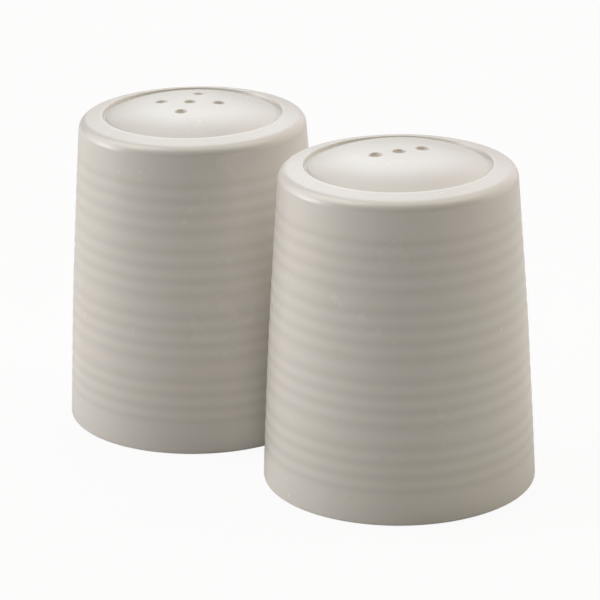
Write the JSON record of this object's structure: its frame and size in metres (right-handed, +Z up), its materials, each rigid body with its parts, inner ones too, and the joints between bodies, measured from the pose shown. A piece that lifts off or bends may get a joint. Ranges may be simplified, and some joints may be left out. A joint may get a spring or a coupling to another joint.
{
  "type": "salt and pepper shakers",
  "caption": "Pair of hollow ribbed porcelain shakers, tapered, with a domed pierced top, a foot ring and a soft stopper in the filler hole underneath.",
  "frame": {"origin": "on the table, midway between the upright axes of the two shakers", "axes": "+Z up along the shakers' axes, +X to the viewer's right, +Y away from the viewer; the pepper shaker stands at the back left and the salt shaker at the front right"},
  "size_m": [0.1086, 0.1046, 0.077],
  "materials": {
    "porcelain": "clear gloss glaze over warm off-white porcelain",
    "stopper": "matt translucent soft plastic"
  },
  "bodies": {
    "pepper_shaker": {"pepper_body": "porcelain"},
    "pepper_stopper": {"pepper_stopper": "stopper"},
    "salt_shaker": {"salt_body": "porcelain"},
    "salt_stopper": {"salt_stopper": "stopper"}
  },
  "joints": [
    {"name": "pepper_stopper_pull", "type": "slide", "parent": "pepper_shaker", "child": "pepper_stopper", "axis": [0, 0, -1], "range_m": [0, 0.022]},
    {"name": "salt_lift", "type": "slide", "parent": "pepper_shaker", "child": "salt_shaker", "axis": [0, 0, 1], "range_m": [0, 0.03]},
    {"name": "salt_stopper_pull", "type": "slide", "parent": "salt_shaker", "child": "salt_stopper", "axis": [0, 0, -1], "range_m": [0, 0.022]}
  ]
}
